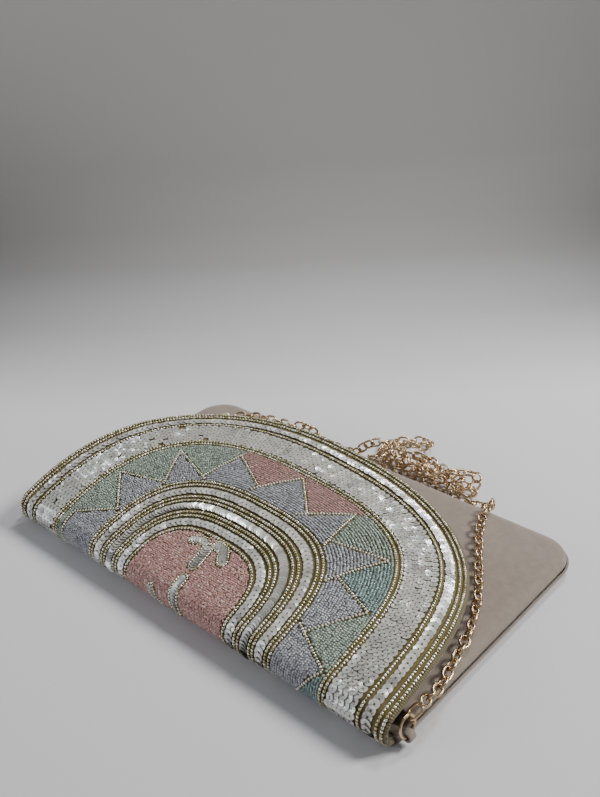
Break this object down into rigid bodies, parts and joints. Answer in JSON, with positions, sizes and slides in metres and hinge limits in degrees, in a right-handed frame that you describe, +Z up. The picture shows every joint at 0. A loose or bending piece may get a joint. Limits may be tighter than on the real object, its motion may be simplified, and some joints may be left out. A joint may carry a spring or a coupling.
{
  "type": "clutch bag",
  "caption": "Flat envelope clutch lying closed: cloth pouch, half-moon flap covered in bands of beads and sequins, magnetic snap, rings and a metal chain strap.",
  "frame": {"origin": "on the table, under the middle of the bag's width and depth", "axes": "+X along the fold towards the wearer's right end in the picture, +Y from the fold to the far edge, +Z up out of the flap"},
  "size_m": [0.2572, 0.195, 0.0321],
  "materials": {
    "pouch_cloth": "taupe satin weave",
    "board": "plain stiffening board",
    "lining": "smooth taupe lining",
    "base_cloth": "olive-gold cloth",
    "cord": "thread-wrapped cord",
    "gold_beads": "gold-lined glass seed beads",
    "sequins": "iridescent silver cup sequins",
    "zigzag_beads": "grey, green and pink glass seed beads",
    "centre_beads": "pink glass seed beads",
    "fold_beads": "beads and sequins on cloth",
    "gold_metal": "polished rose gold plate",
    "washer_metal": "plain steel"
  },
  "bodies": {
    "pouch": {"back_panel": "pouch_cloth", "back_board": "board", "back_lining": "lining", "front_panel": "pouch_cloth", "front_board": "board", "front_lining": "lining", "ring_tab_left": "pouch_cloth", "ring_tab_right": "pouch_cloth", "snap_socket": "gold_metal", "snap_washer_front": "washer_metal", "chain_run_right": "gold_metal", "chain_heap": "gold_metal", "chain_run_left": "gold_metal"},
    "fold_1": {"fold_strip_1": "fold_beads"},
    "fold_2": {"fold_strip_2": "fold_beads"},
    "fold_3": {"fold_strip_3": "fold_beads"},
    "flap": {"flap_base_cloth": "base_cloth", "flap_board": "board", "flap_lining": "lining", "edge_cord": "cord", "gold_rows_outer": "gold_beads", "sequin_band_outer": "sequins", "gold_row_scalloped": "gold_beads", "sequin_band_wide": "sequins", "gold_rows_middle": "gold_beads", "zigzag_bead_band": "zigzag_beads", "gold_rows_inner": "gold_beads", "sequin_band_inner_1": "sequins", "gold_rows_inner_2": "gold_beads", "sequin_band_inner_2": "sequins", "gold_rows_inner_3": "gold_beads", "sequin_band_inner_3": "sequins", "gold_row_centre": "gold_beads", "centre_bead_field": "centre_beads", "snap_stud": "gold_metal", "snap_washer_flap": "washer_metal"},
    "ring_and_link_right": {"ring_right": "gold_metal", "end_link_right": "gold_metal"},
    "ring_and_link_left": {"ring_left": "gold_metal", "end_link_left": "gold_metal"}
  },
  "joints": [
    {"name": "fold_bend_1", "type": "hinge", "parent": "pouch", "child": "fold_1", "pos_m": [0, -0.07008, 0.00054], "axis": [1, 0, 0], "range_deg": [0, 40]},
    {"name": "fold_bend_2", "type": "hinge", "parent": "fold_1", "child": "fold_2", "pos_m": [0, -0.07479, 0.0045], "axis": [1, 0, 0], "range_deg": [0, 40]},
    {"name": "fold_bend_3", "type": "hinge", "parent": "fold_2", "child": "fold_3", "pos_m": [0, -0.07586, 0.01056], "axis": [1, 0, 0], "range_deg": [0, 40]},
    {"name": "fold_bend_4", "type": "hinge", "parent": "fold_3", "child": "flap", "pos_m": [0, -0.07279, 0.01589], "axis": [1, 0, 0], "range_deg": [0, 40]},
    {"name": "ring_swing_right", "type": "hinge", "parent": "pouch", "child": "ring_and_link_right", "pos_m": [0.126, -0.065, 0.0051], "axis": [0, 1, 0], "range_deg": [0, 70]},
    {"name": "ring_swing_left", "type": "hinge", "parent": "pouch", "child": "ring_and_link_left", "pos_m": [-0.126, -0.065, 0.0051], "axis": [0, -1, 0], "range_deg": [0, 70]}
  ],
  "couplings": [
    {"joint": "fold_bend_1", "follows": "fold_bend_4", "ratio": 1},
    {"joint": "fold_bend_2", "follows": "fold_bend_4", "ratio": 1},
    {"joint": "fold_bend_3", "follows": "fold_bend_4", "ratio": 1}
  ]
}
